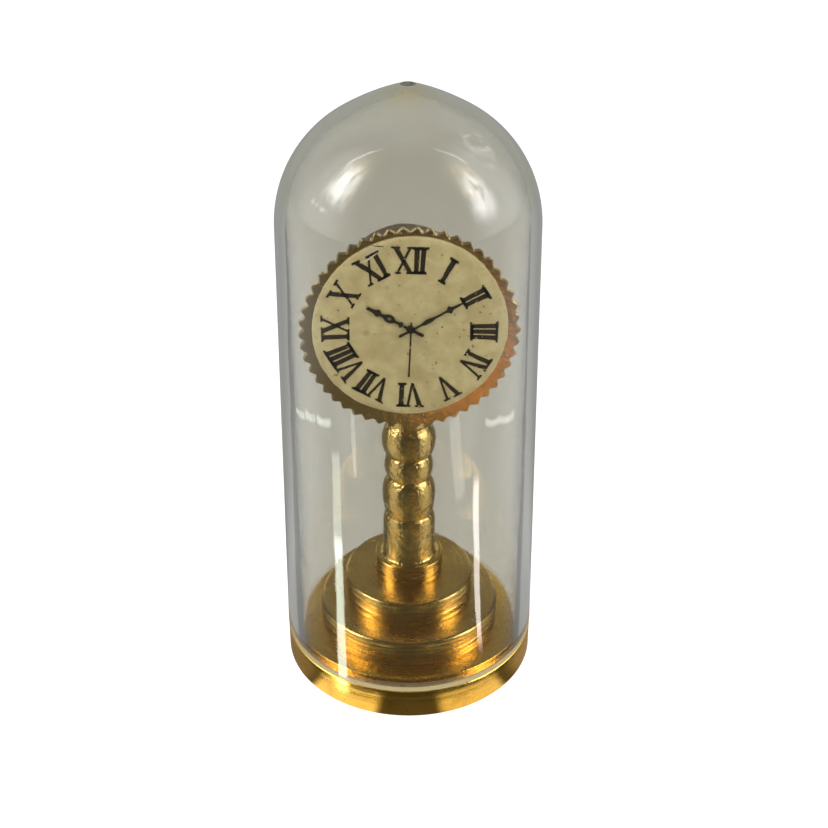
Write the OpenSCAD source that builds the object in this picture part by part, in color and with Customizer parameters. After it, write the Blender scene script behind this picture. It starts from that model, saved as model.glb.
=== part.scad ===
// Miniature dome clock: a turned brass stand with a paper dial under a clear lift-off dome.
// The dial faces -Y and the flange's underside is the plane z = 0.

/* [Base] */
// Thickness of the flange that the clock stands on
flange_h = 2.4; // [1.6:0.1:3.5]
// How far the dome's rim reaches past the flange
rim_overhang = 0.02; // [0:0.01:0.2]
// Bevel round the flange's two outer edges
flange_edge = 0.1; // [0.05:0.01:0.4]
// Radius of the raised step that centres the dome
step_r = 8.6; // [8.5:0.1:11]
// Height of the raised step
step_h = 0.62; // [0.4:0.02:1.2]

/* [Tiers] */
// Radius of the lower tier
lower_tier_r = 7.05; // [6:0.05:8]
// Thickness of the lower tier
lower_tier_h = 2.1; // [1.4:0.1:3]
// Radius of the upper tier
upper_tier_r = 5.03; // [4:0.05:5.8]
// Thickness of the upper tier
upper_tier_h = 2.05; // [1.4:0.05:3]
// Rounding of the tiers' top edges
tier_edge = 0.32; // [0.1:0.02:0.6]
// Radius of the collar under the column
collar_r = 2.65; // [2.4:0.05:3.6]
// Thickness of the collar
collar_h = 1.6; // [1:0.1:2.4]
// Rounding of the collar's top edge
collar_edge = 0.14; // [0.05:0.01:0.3]

/* [Column] */
// Radius of the plain shaft at the column's foot
shaft_r = 2.04; // [1.7:0.02:2.1]
// Height of the plain shaft
shaft_h = 1.8; // [1:0.1:4]
// Width of the flare where the shaft meets the collar
flare = 0.3; // [0.1:0.05:0.4]
// Radius and height of the bead above the shaft
foot_bead_r = 2.02; // [1.8:0.02:2.1]
foot_bead_h = 1.95; // [1.4:0.05:3]
// Radius and height of the long bead
long_bead_r = 2.04; // [1.8:0.02:2.2]
long_bead_h = 3.2; // [2.4:0.1:4.5]
// Radius and height of the small bead
small_bead_r = 1.86; // [1.7:0.01:2]
small_bead_h = 1.97; // [1.4:0.01:3]
// Radius and height of the top bead
top_bead_r = 2.06; // [1.8:0.01:2.2]
top_bead_h = 2.75; // [2:0.05:4]
// Radius of the waist under the long bead
waist_r = 1.82; // [1.5:0.02:1.9]
// Radius of the narrow waists on both sides of the small bead
narrow_waist_r = 1.6; // [1.3:0.02:1.7]
// Radius and height of the neck that carries the head
neck_r = 1.45; // [1.2:0.05:1.6]
neck_h = 4.12; // [4:0.02:6]

/* [Joinery] */
// Radius of the tenon that passes down through the collar and the tiers
foot_tenon_r = 1.1; // [1:0.05:1.3]
// Radius of the tenon that enters the head
head_tenon_r = 0.9; // [0.7:0.05:1.1]
// Length of the tenon that enters the head
head_tenon_l = 2.2; // [1:0.1:3.5]
// Radius of the screw's shank
screw_r = 0.7; // [0.5:0.05:0.8]
// Length of the screw's shank
screw_l = 6; // [4:0.5:7]
// Radius and height of the screw's head
screw_head_r = 1.5; // [1.2:0.05:1.8]
screw_head_h = 0.8; // [0.5:0.05:1]
// Depth of the screw's head below the underside
screw_sink = 0.3; // [0.1:0.05:0.5]

/* [Head] */
// Radius of the head's front rim over its teeth
rim_r = 7.6; // [7.1:0.05:7.7]
// Thickness of the front rim
rim_t = 0.6; // [0.4:0.05:0.9]
// Depth of the rim's teeth
tooth_depth = 0.3; // [0.2:0.05:0.5]
// Number of teeth round the rim
tooth_count = 50; // [40:1:60]
// Radius of the drum behind the rim
drum_r = 4.74; // [3.5:0.02:5.2]
// Depth of the whole head, from its face to its back
head_depth = 8.5; // [5:0.1:8.8]
// Bevel round the drum's back edge
drum_edge = 0.25; // [0.1:0.05:0.5]
// How far the face stands in front of the column's axis
face_front = 2.65; // [2.3:0.05:2.9]

/* [Dial] */
// Radius of the paper card
card_r = 6.75; // [6:0.05:6.8]
// Thickness of the card
card_t = 0.15; // [0.1:0.01:0.3]
// How far the card and the hands are set above the head's centre
card_rise = 0.36; // [0:0.01:0.4]

/* [Hands] */
// Thickness of each hand
hand_t = 0.08; // [0.06:0.01:0.12]
// Gap between the hands, and between the lowest hand and the card
hand_gap = 0.04; // [0.03:0.01:0.08]
// Length of the hour hand from its centre
hour_l = 3.5; // [3:0.01:3.8]
// Length of the minute hand from its centre
minute_l = 4.03; // [3.9:0.01:4.4]
// Length of the seconds hand from its centre
seconds_l = 3.55; // [3:0.01:4]
// Length of the tails of the hour and minute hands
tail_l = 1.02; // [0.6:0.01:1.2]
// Length of the seconds hand's tail
seconds_tail_l = 0.64; // [0.4:0.01:1]
// Width of the hour hand's bar
hour_w = 0.2; // [0.14:0.01:0.26]
// Width of the minute hand's bar
minute_w = 0.15; // [0.1:0.01:0.2]
// Width of the seconds hand's bar at its tail and at its tip
seconds_w = 0.12; // [0.08:0.01:0.16]
seconds_tip_w = 0.14; // [0.08:0.01:0.2]
// Radius of the seconds hand's arbor
arbor_r = 0.09; // [0.07:0.01:0.11]
// Wall of the pipes that carry the hour and minute hands
pipe_wall = 0.06; // [0.04:0.005:0.08]
// Width of each hand's round boss past its pipe or arbor
boss_margin = 0.02; // [0.01:0.01:0.05]
// Depth of the hour pipe in the head
hour_pipe_depth = 0.6; // [0.4:0.1:1]
// How much deeper than the pipe round it the minute pipe and the arbor each go
pipe_step = 0.3; // [0.2:0.05:0.5]
// Degrees past XII at which the hour, minute and seconds hands are set
hour_set = 300.5; // [0:0.5:359.5]
minute_set = 61; // [0:0.5:359.5]
seconds_set = 182.5; // [0:0.5:359.5]

/* [Dome] */
// Wall of the dome at its rim
dome_wall = 1.07; // [0.8:0.01:1.3]
// Slope of the dome's outside, in degrees
dome_draft = 1; // [0.4:0.1:1.2]
// Slope of the dome's inside, in degrees
bore_draft = 0.5; // [0.2:0.1:0.7]
// Height of the shoulder above the head's centre, where the crown begins
shoulder_rise = 6.94; // [5.5:0.02:9]
// Radius of the crown's shoulder
shoulder_r = 9; // [8.6:0.01:12]
// Degrees through which the shoulder turns before the flatter tip
shoulder_turn = 59; // [58:0.1:68]
// Radius of the flatter arc that runs up to the tip
tip_r = 21; // [16:1:60]
// Radius of the flat moulding gate where the tip is broken off
gate_r = 0.5; // [0.2:0.02:0.6]
// How far the gate stands proud at its edge
gate_h = 0.03; // [0.02:0.01:0.2]
// Bevel round the rim's lower edges
rim_edge = 0.1; // [0.04:0.01:0.2]

/* [Fits] */
// Clearance between the raised step and the dome's bore
dome_fit = 0.1; // [0.05:0.01:0.15]
// Extra depth of the flat spot that seats the neck
spot_bite = 0.06; // [0.03:0.01:0.15]
// Clearance round the tenons
tenon_fit = 0.02; // [0.01:0.01:0.03]
// Clearance round the screw in the flange
screw_fit = 0.1; // [0.05:0.01:0.2]
// Clearance of the screw in the column's thread
thread_fit = 0.01; // [0.01:0.005:0.02]
// Running clearance of the hands' arbor and pipes in each other and in the head
pipe_fit = 0.03; // [0.02:0.005:0.05]
// Space left past the end of each blind tenon, screw and arbor
end_gap = 0.3; // [0.1:0.05:0.4]

/* [Hidden] */

$fn = 96;
brass = [0.80, 0.62, 0.28];
blackened = [0.10, 0.09, 0.07];
paper = [0.86, 0.80, 0.58];
clear = [0.85, 0.86, 0.82, 0.3];

// Depth of every cut past the face that it opens in
past = 0.5;

step_top = flange_h + step_h;
lower_top = step_top + lower_tier_h;
upper_top = lower_top + upper_tier_h;
collar_top = upper_top + collar_h;
shaft_top = collar_top + shaft_h;
foot_bead_top = shaft_top + foot_bead_h;
long_bead_top = foot_bead_top + long_bead_h;
small_bead_top = long_bead_top + small_bead_h;
top_bead_top = small_bead_top + top_bead_h;
neck_top = top_bead_top + neck_h;

// The drum has a flat spot as wide as the neck, and the neck's shoulder meets it
spot_r = neck_r + tenon_fit;
spot_depth = drum_r - sqrt(drum_r * drum_r - spot_r * spot_r) + spot_bite;
head_z = neck_top + drum_r - spot_depth;

dome_bore_r = step_r + dome_fit;
dome_rim_r = dome_bore_r + dome_wall;
flange_r = dome_rim_r - rim_overhang;

tenon_end = step_top + end_gap;
screw_seat = screw_sink + screw_head_h;
screw_end = screw_seat + screw_l;

hour_back = card_t + hand_gap;
minute_back = hour_back + hand_t + hand_gap;
seconds_back = minute_back + hand_t + hand_gap;

// The arbor turns in the minute pipe, that in the hour pipe, and that in the head's bore
minute_bore_r = arbor_r + pipe_fit;
minute_pipe_r = minute_bore_r + pipe_wall;
hour_bore_r = minute_pipe_r + pipe_fit;
hour_pipe_r = hour_bore_r + pipe_wall;
centre_bore_r = hour_pipe_r + pipe_fit;
arbor_depth = hour_pipe_depth + 2 * pipe_step;

// Where each bead is fullest: 1 is its middle, and more is higher
foot_bead_lean = 1;
long_bead_lean = 1.05;
small_bead_lean = 1;
top_bead_lean = 0.9;

// The hour hand's open ring and its hole, as shares of the bar's width
ring_share = 1.45;
hole_share = 0.65;

// Lozenges on the hands: place as a share of the hand's length, length and width in widths
// of its bar, and the share of the length that lies nearer the centre than the fullest place
hour_barb = [0.75, 3, 2.6, 0.5];
hour_web = [0.49, 4.6, 2.6, 0.5];
hour_nub = [0.22, 1.4, 2.6, 0.5];
minute_barb = [0.762, 3.4, 3.6, 0.5];
minute_swell = [0.32, 7.5, 2.3, 0.4];

// Points along an arc from angle a0 to a1 about a centre
function arc(centre, r, a0, a1, n) =
    [for (i = [0:n]) let(a = a0 + (a1 - a0) * i / n) centre + r * [cos(a), sin(a)]];

// Outline of one turned bead that swells from one waist to the next; lean moves its fullest place up
function bead(z0, h, r, low_r, high_r, lean) =
    [for (i = [0:12]) let(t = i / 12, waist = low_r + (high_r - low_r) * t)
        [waist + (r - waist) * pow(sin(180 * pow(t, lean)), 0.7), z0 + h * t]];

// A disc with a rounded top edge
module turned_disc(r, h, edge) {
    rotate_extrude()
        polygon(concat([[0, 0], [r, 0]], arc([r - edge, h - edge], edge, 0, 90, 6), [[0, h]]));
}

// Places children on the head's face: X to the right, Y up and Z towards the viewer
module at_face() {
    translate([0, -face_front, head_z]) rotate([90, 0, 0]) children();
}

// Places children on the face about the centre of the card and the hands
module at_card() {
    at_face() translate([0, card_rise, 0]) children();
}

// A round hole along the hands' axis, from in front of the card to a depth behind the face
module centre_bore(depth) {
    at_card() translate([0, 0, -depth]) cylinder(h = depth + card_t + past, r = centre_bore_r);
}

module base_flange() {
    color(brass) difference() {
        union() {
            rotate_extrude() polygon([[0, 0], [flange_r - flange_edge, 0], [flange_r, flange_edge],
                [flange_r, flange_h - flange_edge], [flange_r - flange_edge, flange_h], [0, flange_h]]);
            cylinder(h = step_top, r = step_r);
        }
        translate([0, 0, -past]) cylinder(h = step_top + 2 * past, r = screw_r + screw_fit);
        translate([0, 0, -past]) cylinder(h = screw_seat + past, r = screw_head_r + screw_fit);
    }
}

// A disc of the stand, bored for the column's tenon
module bored_disc(z, r, h, edge) {
    color(brass) translate([0, 0, z]) difference() {
        turned_disc(r, h, edge);
        translate([0, 0, -past]) cylinder(h = h + 2 * past, r = foot_tenon_r + tenon_fit);
    }
}

module lower_tier() {
    bored_disc(step_top, lower_tier_r, lower_tier_h, tier_edge);
}

module upper_tier() {
    bored_disc(lower_top, upper_tier_r, upper_tier_h, tier_edge);
}

module collar() {
    bored_disc(upper_top, collar_r, collar_h, collar_edge);
}

module column() {
    outline = concat(
        [[0, tenon_end], [foot_tenon_r, tenon_end], [foot_tenon_r, collar_top]],
        arc([shaft_r + flare, collar_top + flare], flare, 270, 180, 5),
        bead(shaft_top, foot_bead_h, foot_bead_r, shaft_r, waist_r, foot_bead_lean),
        bead(foot_bead_top, long_bead_h, long_bead_r, waist_r, narrow_waist_r, long_bead_lean),
        bead(long_bead_top, small_bead_h, small_bead_r, narrow_waist_r, narrow_waist_r, small_bead_lean),
        bead(small_bead_top, top_bead_h, top_bead_r, narrow_waist_r, neck_r, top_bead_lean),
        [[neck_r, neck_top], [head_tenon_r, neck_top], [head_tenon_r, neck_top + head_tenon_l],
            [0, neck_top + head_tenon_l]]);
    color(brass) difference() {
        rotate_extrude() polygon(outline);
        translate([0, 0, tenon_end - past])
            cylinder(h = screw_end + end_gap - tenon_end + past, r = screw_r + thread_fit);
    }
}

module base_screw() {
    slot_w = 0.25 * screw_head_r;
    color(brass) difference() {
        union() {
            translate([0, 0, screw_sink]) cylinder(h = screw_head_h, r = screw_head_r);
            translate([0, 0, screw_seat]) cylinder(h = screw_l, r = screw_r);
        }
        translate([-screw_head_r, -slot_w / 2, screw_sink - past])
            cube([2 * screw_head_r, slot_w, screw_head_h / 2 + past]);
    }
}

// The front rim's outline, with V teeth all round and a valley at XII
module toothed_disc() {
    polygon([for (i = [0:2 * tooth_count - 1]) let(a = 180 * i / tooth_count)
        (rim_r - tooth_depth * (1 - i % 2)) * [sin(a), cos(a)]]);
}

module clock_head() {
    color(brass) difference() {
        at_face() {
            translate([0, 0, -rim_t]) linear_extrude(rim_t) toothed_disc();
            translate([0, 0, -head_depth]) rotate_extrude()
                polygon([[0, 0], [drum_r - drum_edge, 0], [drum_r, drum_edge],
                    [drum_r, head_depth - rim_t], [0, head_depth - rim_t]]);
        }
        translate([0, 0, neck_top - drum_r]) cylinder(h = drum_r, r = spot_r);
        translate([0, 0, neck_top - past])
            cylinder(h = head_tenon_l + end_gap + past, r = head_tenon_r + tenon_fit);
        centre_bore(arbor_depth + end_gap);
    }
}

module dial_card() {
    color(paper) difference() {
        at_card() cylinder(h = card_t, r = card_r);
        centre_bore(past);
    }
}

// A flat hand set at its hour, on a pipe or arbor that reaches back into the head
module hand(past_xii, back, depth, outer_r, inner_r) {
    color(blackened) at_card() rotate([0, 0, -past_xii]) difference() {
        union() {
            translate([0, 0, back]) linear_extrude(hand_t) children();
            translate([0, 0, back]) cylinder(h = hand_t, r = outer_r + boss_margin);
            translate([0, 0, -depth]) cylinder(h = depth + back + hand_t / 2, r = outer_r);
        }
        if (inner_r > 0)
            translate([0, 0, -depth - past]) cylinder(h = depth + back + hand_t + 2 * past, r = inner_r);
    }
}

// A bar along Y that narrows from one width to another
module bar(y0, y1, w0, w1) {
    polygon([[-w0 / 2, y0], [w0 / 2, y0], [w1 / 2, y1], [-w1 / 2, y1]]);
}

// A four-pointed lozenge across a hand of length l and bar width w
module lozenge(shape, l, w) {
    y = shape[0] * l;
    half_w = shape[2] * w / 2;
    low = shape[1] * w * shape[3];
    polygon([[0, y - low], [half_w, y], [0, y + shape[1] * w - low], [-half_w, y]]);
}

module hour_hand() {
    ring_y = hour_web[0] * hour_l;
    hand(hour_set, hour_back, hour_pipe_depth, hour_pipe_r, hour_bore_r) difference() {
        union() {
            bar(-tail_l, hour_l, hour_w, hour_w);
            for (shape = [hour_barb, hour_web, hour_nub]) lozenge(shape, hour_l, hour_w);
            translate([0, ring_y]) circle(r = ring_share * hour_w);
        }
        translate([0, ring_y]) circle(r = hole_share * hour_w);
    }
}

module minute_hand() {
    hand(minute_set, minute_back, hour_pipe_depth + pipe_step, minute_pipe_r, minute_bore_r) {
        bar(-tail_l, minute_l, minute_w, minute_w);
        for (shape = [minute_barb, minute_swell]) lozenge(shape, minute_l, minute_w);
    }
}

module seconds_hand() {
    hand(seconds_set, seconds_back, arbor_depth, arbor_r, 0)
        bar(-seconds_tail_l, seconds_l, seconds_w, seconds_tip_w);
}

// Half outline of one of the dome's two surfaces, up to the axis
function dome_side(foot_r, draft, crown_inset) =
    let(spring_z = head_z + shoulder_rise,
        out_r = dome_rim_r - tan(dome_draft) * (spring_z - flange_h),
        low = [out_r - shoulder_r, spring_z],
        high = low - (tip_r - shoulder_r) * [cos(shoulder_turn), sin(shoulder_turn)],
        r0 = shoulder_r - crown_inset,
        r1 = tip_r - crown_inset,
        tip_arc = arc(high, r1, shoulder_turn, acos(-high[0] / r1), 3))
    concat([[foot_r, flange_h]],
        arc(low, r0, 0, shoulder_turn, 13),
        [for (p = tip_arc) if (p[1] > low[1] + r0 * sin(shoulder_turn)) p]);

module dome() {
    spring_h = head_z + shoulder_rise - flange_h;
    crown_wall = dome_wall - tan(dome_draft) * spring_h + tan(bore_draft) * spring_h;
    outside = dome_side(dome_rim_r, dome_draft, 0);
    inside = dome_side(dome_bore_r, bore_draft, crown_wall);
    tip = outside[len(outside) - 1];
    below_tip = outside[len(outside) - 2];
    gate_top = tip[1] - (tip[1] - below_tip[1]) * gate_r / below_tip[0] + gate_h;
    color(clear) difference() {
        union() {
            rotate_extrude() polygon(concat([[0, flange_h]], outside));
            translate([0, 0, gate_top - crown_wall / 2]) cylinder(h = crown_wall / 2, r = gate_r);
        }
        translate([0, 0, gate_top]) cylinder(h = past, r = gate_r);
        rotate_extrude() polygon(concat([[0, flange_h - past], [dome_bore_r, flange_h - past]], inside));
        rotate_extrude()
            polygon([[dome_rim_r - rim_edge, flange_h - past], [dome_rim_r + past, flange_h - past],
                [dome_rim_r + past, flange_h + rim_edge], [dome_rim_r, flange_h + rim_edge],
                [dome_rim_r - rim_edge, flange_h]]);
    }
}

base_flange();
lower_tier();
upper_tier();
collar();
column();
base_screw();
clock_head();
dial_card();
hour_hand();
minute_hand();
seconds_hand();
dome();
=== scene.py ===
"""Looks of the miniature dome clock.

Shapes are typed in millimetres and built in metres, in the frame's own axes.
"""

import math

import bmesh
import bpy
from mathutils import Matrix, Vector, noise


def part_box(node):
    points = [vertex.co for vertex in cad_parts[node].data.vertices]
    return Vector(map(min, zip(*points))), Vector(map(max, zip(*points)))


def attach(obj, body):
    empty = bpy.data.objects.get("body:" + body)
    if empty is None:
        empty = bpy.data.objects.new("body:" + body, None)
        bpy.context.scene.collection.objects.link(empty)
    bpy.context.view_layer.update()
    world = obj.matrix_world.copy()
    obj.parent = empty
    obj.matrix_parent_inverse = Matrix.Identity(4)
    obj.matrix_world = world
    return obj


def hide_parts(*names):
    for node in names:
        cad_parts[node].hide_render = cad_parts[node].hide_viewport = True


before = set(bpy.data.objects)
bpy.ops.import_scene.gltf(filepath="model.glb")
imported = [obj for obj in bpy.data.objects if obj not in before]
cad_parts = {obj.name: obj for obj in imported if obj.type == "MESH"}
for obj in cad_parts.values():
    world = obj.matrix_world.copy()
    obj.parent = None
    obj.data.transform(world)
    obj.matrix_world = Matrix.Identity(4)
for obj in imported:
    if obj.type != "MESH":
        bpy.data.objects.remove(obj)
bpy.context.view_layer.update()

MM = 0.001
TAU = 2 * math.pi
DEGREES_IN_RADIAN = math.degrees(1)


# Sizes from the frame, in millimetres

def box_mm(node):
    """The lowest and the highest corner of a node's box."""
    lo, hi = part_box(node)
    return Vector(lo) / MM, Vector(hi) / MM


flange_hi = box_mm("base_flange")[1]
lower_lo, lower_hi = box_mm("lower_tier")
upper_lo, upper_hi = box_mm("upper_tier")
collar_lo, collar_hi = box_mm("collar")
column_foot_z = box_mm("column")[0].z
screw_end_z = box_mm("base_screw")[1].z
head_lo, head_hi = box_mm("clock_head")
card_lo, card_hi = box_mm("dial_card")
dome_lo, dome_hi = box_mm("dome")

flange_r = flange_hi.x
flange_top = dome_lo.z
step_top = flange_hi.z
dome_rim_r = dome_hi.x
head_z = (head_lo.z + head_hi.z) / 2
card_z = (card_lo.z + card_hi.z) / 2
face_y = head_lo.y
card_r = card_hi.x
card_t = face_y - card_lo.y


# Mesh helpers

same_point = 1e-5
on_axis = 1e-6


def mesh_object(name, bm, body, material, smooth_angle=32):
    """An object from a bmesh in millimetres, riding on a body and shaded smooth under the given angle."""
    bmesh.ops.remove_doubles(bm, verts=bm.verts, dist=same_point)
    bmesh.ops.recalc_face_normals(bm, faces=bm.faces)
    bmesh.ops.scale(bm, vec=(MM, MM, MM), verts=bm.verts)
    mesh = bpy.data.meshes.new(name)
    bm.to_mesh(mesh)
    bm.free()
    mesh.shade_smooth()
    mesh.set_sharp_from_angle(angle=math.radians(smooth_angle))
    mesh.materials.append(material)
    ob = bpy.data.objects.new(name, mesh)
    bpy.context.scene.collection.objects.link(ob)
    if body:
        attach(ob, body)
    return ob


def add_rings(bm, rings, closed=False):
    """Joins rings of points into quads; a ring of one point closes the surface there."""
    made = [[bm.verts.new(p) for p in ring] for ring in rings]
    pairs = list(zip(made, made[1:]))
    if closed:
        pairs.append((made[-1], made[0]))
    for a, b in pairs:
        n = max(len(a), len(b))
        for i in range(n):
            j = (i + 1) % n
            corners = [a[i % len(a)], a[j % len(a)], b[j % len(b)], b[i % len(b)]]
            face = list(dict.fromkeys(corners))
            if len(face) > 2:
                bm.faces.new(face)


def circle(r, z, segments):
    """A level ring of points, or the one point on the axis."""
    if r < on_axis:
        return [Vector((0, 0, z))]
    turns = [TAU * i / segments for i in range(segments)]
    return [Vector((r * math.cos(turn), r * math.sin(turn), z)) for turn in turns]


def lathe(bm, outline, segments=240, closed=False):
    """Turns an outline of (radius, height) about Z."""
    add_rings(bm, [circle(r, z, segments) for r, z in outline], closed)


def arc(centre_r, centre_z, r, start, end, steps):
    """Points of an arc in an outline, angles in degrees from +radius towards +height."""
    out = []
    for i in range(steps + 1):
        a = math.radians(start + (end - start) * i / steps)
        out.append((centre_r + r * math.cos(a), centre_z + r * math.sin(a)))
    return out


def slab(bm, corners, back, front, place):
    """A flat piece of the given (u, w) outline between two depths; place(u, w, depth) gives its points."""
    low = [bm.verts.new(place(u, w, back)) for u, w in corners]
    top = [bm.verts.new(place(u, w, front)) for u, w in corners]
    bm.faces.new(low)
    bm.faces.new(top)
    for i in range(len(corners)):
        j = (i + 1) % len(corners)
        bm.faces.new([low[i], low[j], top[j], top[i]])


def on_face(u, w, depth):
    """A point at u to the right and w above the head's centre, at a depth in front of the head's face."""
    return Vector((u, face_y - depth, head_z + w))


def on_card(u, w, depth):
    """The same about the centre of the card and the hands, which stand a little above the head's."""
    return Vector((u, face_y - depth, card_z + w))


def face_ring(r, depth, count, place=on_card):
    """An upright ring of points at a depth in front of the head's face, or its one centre point."""
    if r < on_axis:
        return [place(0, 0, depth)]
    turns = [TAU * i / count for i in range(count)]
    return [place(r * math.sin(turn), r * math.cos(turn), depth) for turn in turns]


# Shader helpers

class Nodes:
    """Builds a node tree with short calls; a value is a number, a tuple or another node's output."""

    def __init__(self, tree):
        self.tree = tree
        self.tree.nodes.clear()

    def add(self, kind, out=0, settings=None, **inputs):
        """Adds a node, fills the inputs that are named and returns one of its outputs."""
        node = self.tree.nodes.new(kind)
        for key, value in (settings or {}).items():
            setattr(node, key, value)
        for key, value in inputs.items():
            self.put(node, key.replace("_", " "), value)
        return node.outputs[out]

    def put(self, node, key, value):
        """Fills an input, found by its name or by its number as text."""
        socket = node.inputs[int(key) if key.isdigit() else key]
        if isinstance(value, bpy.types.NodeSocket):
            self.tree.links.new(value, socket)
        elif isinstance(value, tuple) and len(value) == 3 and socket.type == "RGBA":
            socket.default_value = (*value, 1)
        else:
            socket.default_value = value

    def maths(self, op, a, b=0.0):
        node = self.tree.nodes.new("ShaderNodeMath")
        node.operation = op
        self.put(node, "0", a)
        self.put(node, "1", b)
        return node.outputs[0]

    def times(self, a, b):
        return self.maths("MULTIPLY", a, b)

    def minus(self, a, b):
        return self.maths("SUBTRACT", a, b)

    def plus(self, first, *others):
        total = first
        for value in others:
            total = self.maths("ADD", total, value)
        return total

    def length(self, a, b):
        return self.maths("SQRT", self.plus(self.times(a, a), self.times(b, b)))

    def ramp(self, x, start, end):
        """0 at start and 1 at end, smooth between; start may be the larger."""
        node = self.tree.nodes.new("ShaderNodeMapRange")
        node.interpolation_type = "SMOOTHSTEP"
        self.put(node, "Value", x)
        node.inputs["From Min"].default_value = start
        node.inputs["From Max"].default_value = end
        return node.outputs[0]

    def band(self, x, start, end, soft):
        """1 from start to end and 0 outside, with soft edges."""
        rise = self.ramp(x, start - soft, start + soft)
        fall = self.ramp(x, end - soft, end + soft)
        return self.minus(rise, fall)

    def mix(self, fac, a, b):
        """The colour a where fac is 0, and b where it is 1."""
        node = self.tree.nodes.new("ShaderNodeMix")
        node.data_type = "RGBA"
        self.put(node, "0", fac)
        for index, value in ((6, a), (7, b)):
            self.put(node, str(index), (*value, 1.0) if isinstance(value, tuple) else value)
        return node.outputs[2]

    def mix_shaders(self, fac, a, b):
        """The shader a where fac is 0, and b where it is 1."""
        node = self.tree.nodes.new("ShaderNodeMixShader")
        for index, value in enumerate((fac, a, b)):
            self.tree.links.new(value, node.inputs[index])
        return node.outputs[0]

    def noise(self, at, scale, detail=2.0, roughness=0.5, distortion=0.0):
        return self.add("ShaderNodeTexNoise", 0, None, Vector=at, Scale=scale, Detail=detail,
                        Roughness=roughness, Distortion=distortion)

    def combine(self, x, y, z):
        return self.add("ShaderNodeCombineXYZ", 0, None, X=x, Y=y, Z=z)

    def split(self, vector):
        """The x, y and z of a vector."""
        node = self.tree.nodes.new("ShaderNodeSeparateXYZ")
        self.put(node, "0", vector)
        return node.outputs[0], node.outputs[1], node.outputs[2]

    def grey(self, value):
        return self.add("ShaderNodeCombineColor", 0, None, Red=value, Green=value, Blue=value)

    def bump(self, depth_mm, height, strength=1.0):
        return self.add("ShaderNodeBump", 0, None, Strength=strength, Distance=depth_mm * MM, Height=height)

    def position_mm(self):
        """Object coordinates in millimetres, whole and split into x, y and z."""
        scaled = self.tree.nodes.new("ShaderNodeVectorMath")
        scaled.operation = "SCALE"
        self.put(scaled, "0", self.add("ShaderNodeTexCoord", "Object"))
        scaled.inputs["Scale"].default_value = 1 / MM
        return scaled.outputs[0], *self.split(scaled.outputs[0])

    def surface(self, bump, **values):
        """Ends a material with a Principled shader of the given values."""
        shader = self.tree.nodes.new("ShaderNodeBsdfPrincipled")
        for key, value in values.items():
            self.put(shader, key.replace("_", " "), value)
        self.tree.links.new(bump, shader.inputs["Normal"])
        out = self.tree.nodes.new("ShaderNodeOutputMaterial")
        self.tree.links.new(shader.outputs[0], out.inputs[0])


def new_material(name):
    mat = bpy.data.materials.new(name)
    mat.use_nodes = True
    return mat, Nodes(mat.node_tree)


# Materials, with noise scales in features per millimetre

speck_brown = (0.16, 0.085, 0.03)


def brass(name, axis, bright, dull, roughness, groove, pitch, dents=0.0, grain=0.7):
    """Turned brass: grooves run round the axis, tarnish gathers in patches and in rings.

    Groove is the grooves' depth and pitch their spacing, dents the weight of wider dents, and grain how
    far the grooves draw out the highlights.
    """
    mat, n = new_material(name)
    at, x, y, z = n.position_mm()
    if axis == "Z":
        across, along = y, z
    else:
        across, along = n.minus(z, head_z), y
    angle = n.maths("ARCTAN2", across, x)
    drift = n.times(n.noise(at, scale=0.35, detail=1.0), 0.25)
    ring_at = n.combine(n.plus(n.length(x, across), drift), n.times(angle, 0.16), along)
    fine = n.noise(ring_at, scale=1 / pitch, detail=3.0, roughness=0.62)
    coarse = n.noise(ring_at, scale=2.4, roughness=0.6)
    cloud = n.noise(at, scale=0.55, detail=3.0, roughness=0.6, distortion=0.4)
    dent = n.noise(at, scale=2.4, detail=3.0, roughness=0.6)
    speck = n.ramp(n.noise(at, scale=5.0, roughness=0.6), 0.66, 0.74)
    tarnish = n.plus(n.times(n.ramp(cloud, 0.42, 0.72), 0.55), n.times(n.ramp(coarse, 0.5, 0.75), 0.45))
    colour = n.mix(tarnish, bright, dull)
    colour = n.mix(n.times(speck, 0.7), colour, speck_brown)
    rough = n.plus(roughness, n.times(tarnish, 0.12), n.times(fine, 0.08))
    height = n.plus(fine, n.times(coarse, 0.9), n.times(dent, dents))
    tangent = n.add("ShaderNodeTangent", 0, {"direction_type": "RADIAL", "axis": axis})
    n.surface(n.bump(groove, height), Base_Color=colour, Metallic=1.0, Roughness=rough, Anisotropic=grain,
              Anisotropic_Rotation=0.25, Tangent=tangent)
    return mat


turned = brass("turned_brass", "Z", bright=(0.80, 0.555, 0.185), dull=(0.60, 0.365, 0.095), roughness=0.18,
               groove=0.022, pitch=0.11, dents=0.5, grain=0.5)
flange_brass = brass("flange_brass", "Z", bright=(0.90, 0.57, 0.12), dull=(0.64, 0.37, 0.06), roughness=0.20,
                     groove=0.018, pitch=0.16, dents=1.3, grain=0.4)
column_brass = brass("column_brass", "Z", bright=(0.84, 0.61, 0.23), dull=(0.55, 0.37, 0.12), roughness=0.13,
                     groove=0.034, pitch=0.24, dents=3.2)
toothed = brass("toothed_brass", "Y", bright=(0.71, 0.53, 0.235), dull=(0.51, 0.395, 0.165), roughness=0.11,
                groove=0.008, pitch=0.13, dents=3.0)
screw_metal = brass("screw_brass", "Z", bright=(0.78, 0.54, 0.20), dull=(0.50, 0.32, 0.11), roughness=0.34,
                    groove=0.006, pitch=0.20)

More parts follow.
